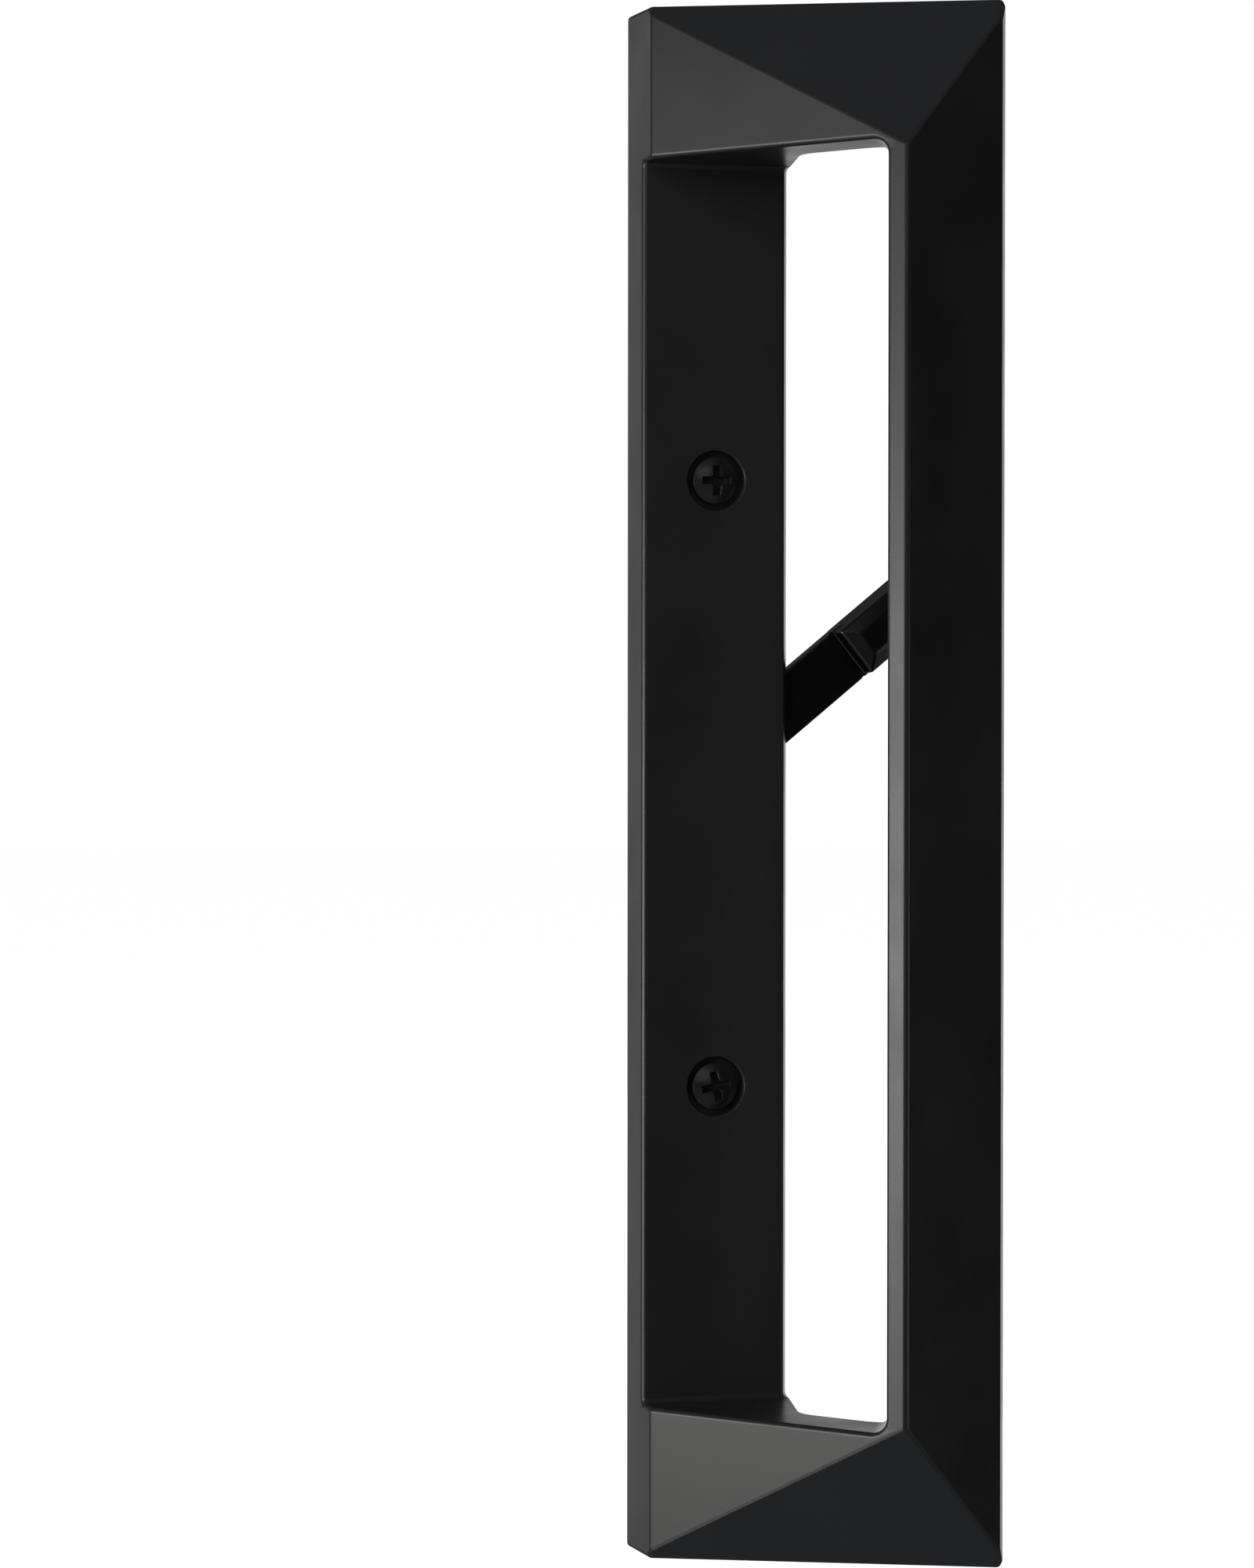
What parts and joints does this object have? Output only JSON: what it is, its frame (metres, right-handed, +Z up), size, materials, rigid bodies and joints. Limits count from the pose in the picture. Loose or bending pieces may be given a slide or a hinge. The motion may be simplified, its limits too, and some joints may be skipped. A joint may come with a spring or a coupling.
{
  "type": "sliding door pull",
  "caption": "Faceted inside pull for a sliding door: a screwed plate with an offset grip on sloping arms, and a thumb lever that turns the lock's tailpiece.",
  "frame": {"origin": "on the door face, midway between the two mounting screws", "axes": "+X to the right seen from the room, +Y into the door, +Z up"},
  "size_m": [0.0528, 0.0837, 0.254],
  "materials": {
    "black_paint": "satin black powder coat on a zinc casting",
    "black_lever": "satin black powder coat on a zinc casting",
    "black_screw": "black oxide on steel",
    "zinc_plate": "zinc plated steel",
    "spring_steel": "oiled spring steel",
    "nylon": "natural nylon"
  },
  "bodies": {
    "handle": {"handle_casting": "black_paint", "pivot_bush": "nylon", "spring_washer": "spring_steel", "retainer_plate": "zinc_plate", "retainer_screws": "zinc_plate", "mounting_screws": "black_screw"},
    "lever": {"latch_lever": "black_lever", "tailpiece": "zinc_plate"}
  },
  "joints": [
    {"name": "lever_turn", "type": "hinge", "parent": "handle", "child": "lever", "pos_m": [0, -0.0045, 0.0021], "axis": [0, 1, 0], "range_deg": [0, 78]}
  ]
}
